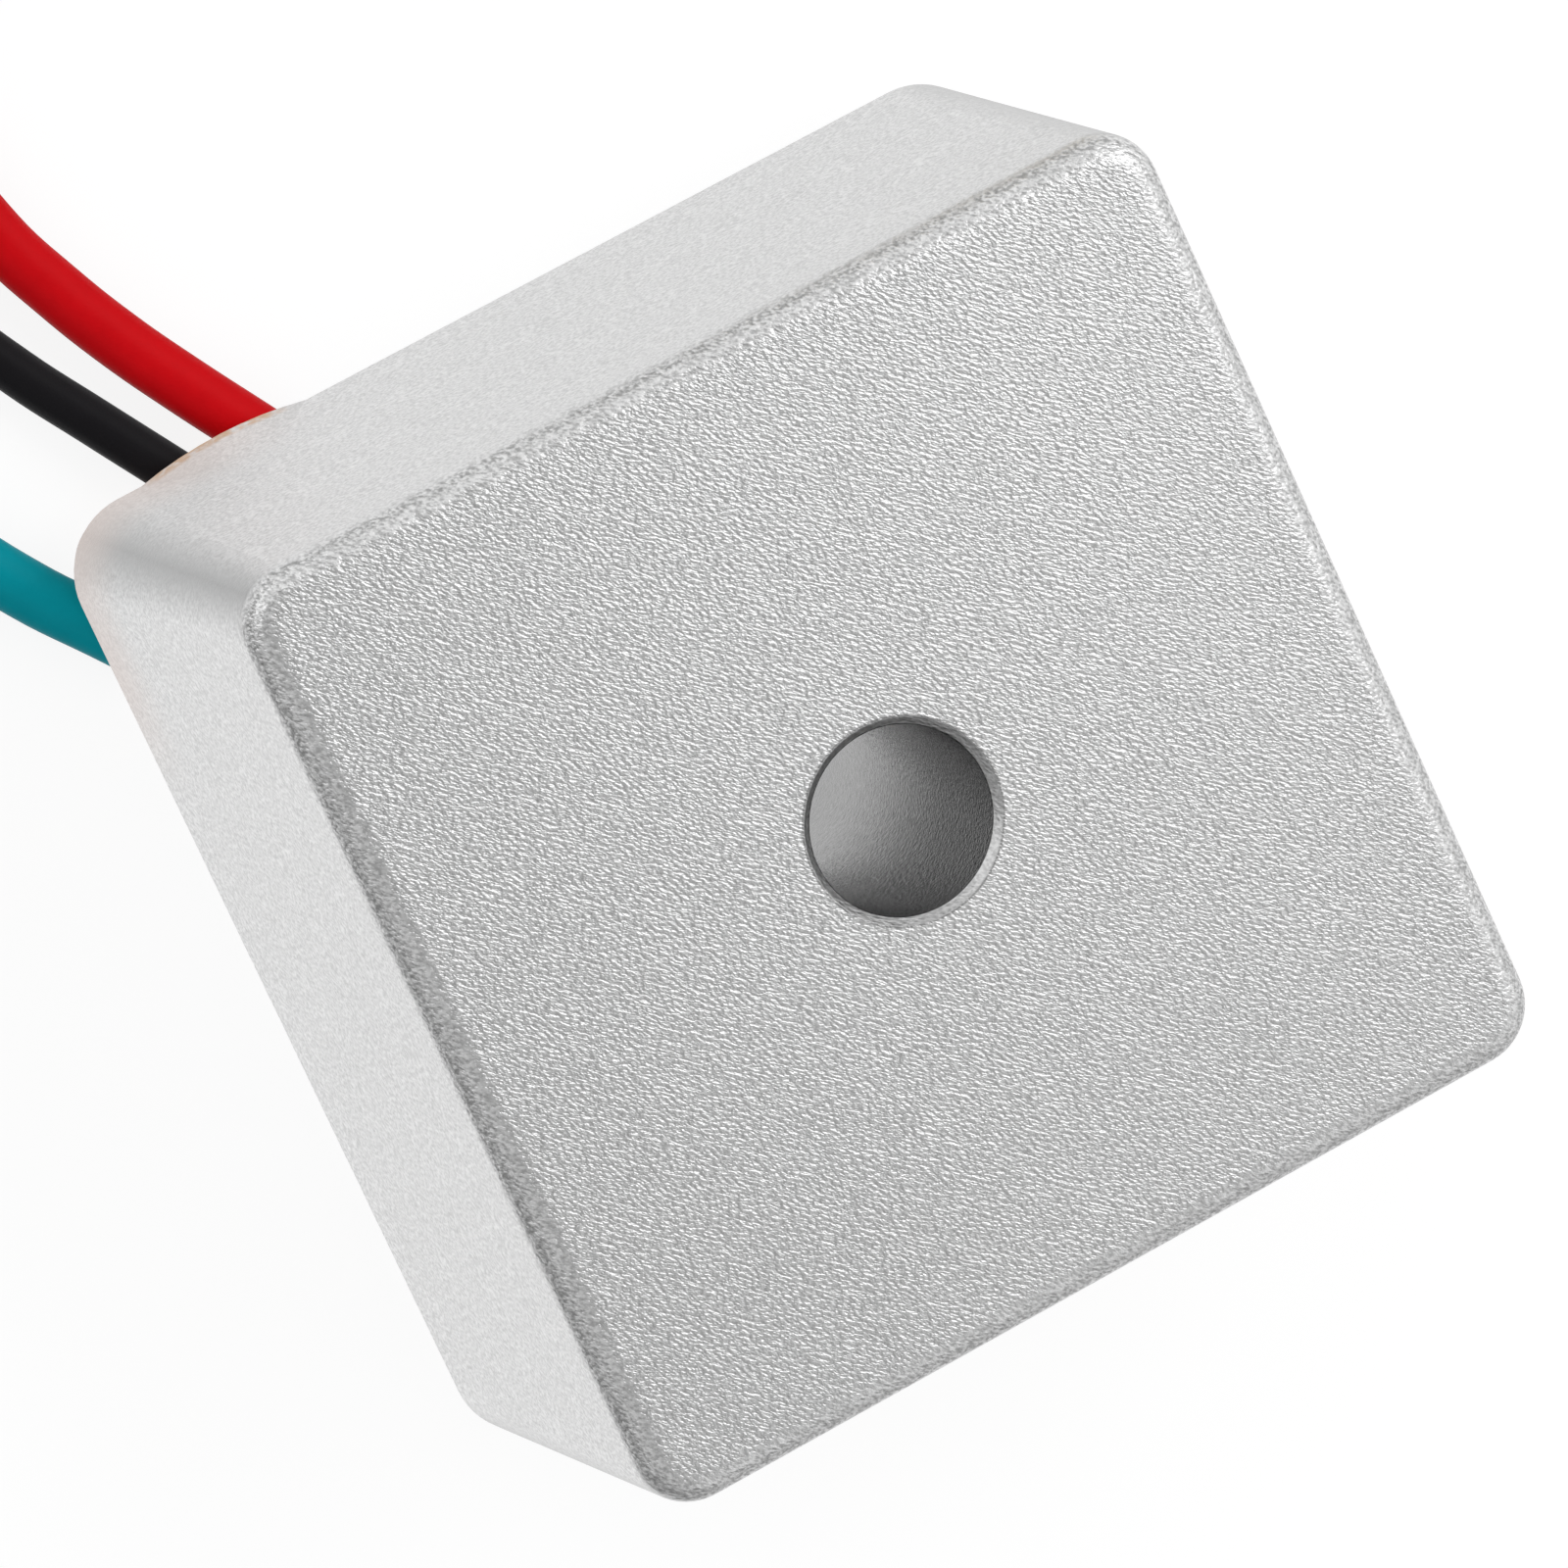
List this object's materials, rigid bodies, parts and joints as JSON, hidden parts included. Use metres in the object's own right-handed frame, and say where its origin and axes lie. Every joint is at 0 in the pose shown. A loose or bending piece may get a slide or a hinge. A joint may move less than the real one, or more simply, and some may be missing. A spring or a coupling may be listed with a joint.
{
  "type": "voltage regulator rectifier",
  "caption": "Square die-cast aluminium block with a central bolt bore, potted from behind, with coloured leads that leave one corner and end in bullet terminals.",
  "frame": {"origin": "on the bore axis, in the plane of the open rim that the block lies on", "axes": "+Z along the bore, out of the cast face; the leads leave the corner at +X -Y"},
  "size_m": [0.0751, 0.0934, 0.0285],
  "materials": {
    "cast_aluminium": "satin",
    "potting_resin": "matt",
    "board_laminate": "matt",
    "black_moulding": "matt",
    "silicone_pad": "matt",
    "zinc_steel": "satin",
    "glass_diode": "gloss",
    "resistor_body": "matt",
    "capacitor_sleeve": "gloss",
    "solder": "satin",
    "copper": "satin",
    "red_insulation": "gloss",
    "black_insulation": "gloss",
    "teal_insulation": "gloss",
    "brass_terminal": "satin",
    "clear_sleeve": "gloss"
  },
  "bodies": {
    "root": {"housing": "cast_aluminium", "potting_compound": "potting_resin", "circuit_board": "board_laminate", "thyristor_left": "black_moulding", "thyristor_right": "black_moulding", "pad_left": "silicone_pad", "pad_right": "silicone_pad", "tab_screws": "zinc_steel", "diode_outer": "black_moulding", "diode_inner": "black_moulding", "zener_diode": "glass_diode", "gate_resistor_left": "resistor_body", "gate_resistor_right": "resistor_body", "sense_resistor": "resistor_body", "capacitor": "capacitor_sleeve", "transistor": "black_moulding", "solder_joints": "solder", "red_conductor": "copper", "black_conductor": "copper", "teal_conductor": "copper", "red_lead": "red_insulation", "black_lead": "black_insulation", "teal_lead": "teal_insulation", "red_terminal": "brass_terminal", "black_terminal": "brass_terminal", "teal_terminal": "brass_terminal", "red_sleeve": "clear_sleeve", "black_sleeve": "clear_sleeve", "teal_sleeve": "clear_sleeve"}
  },
  "joints": []
}
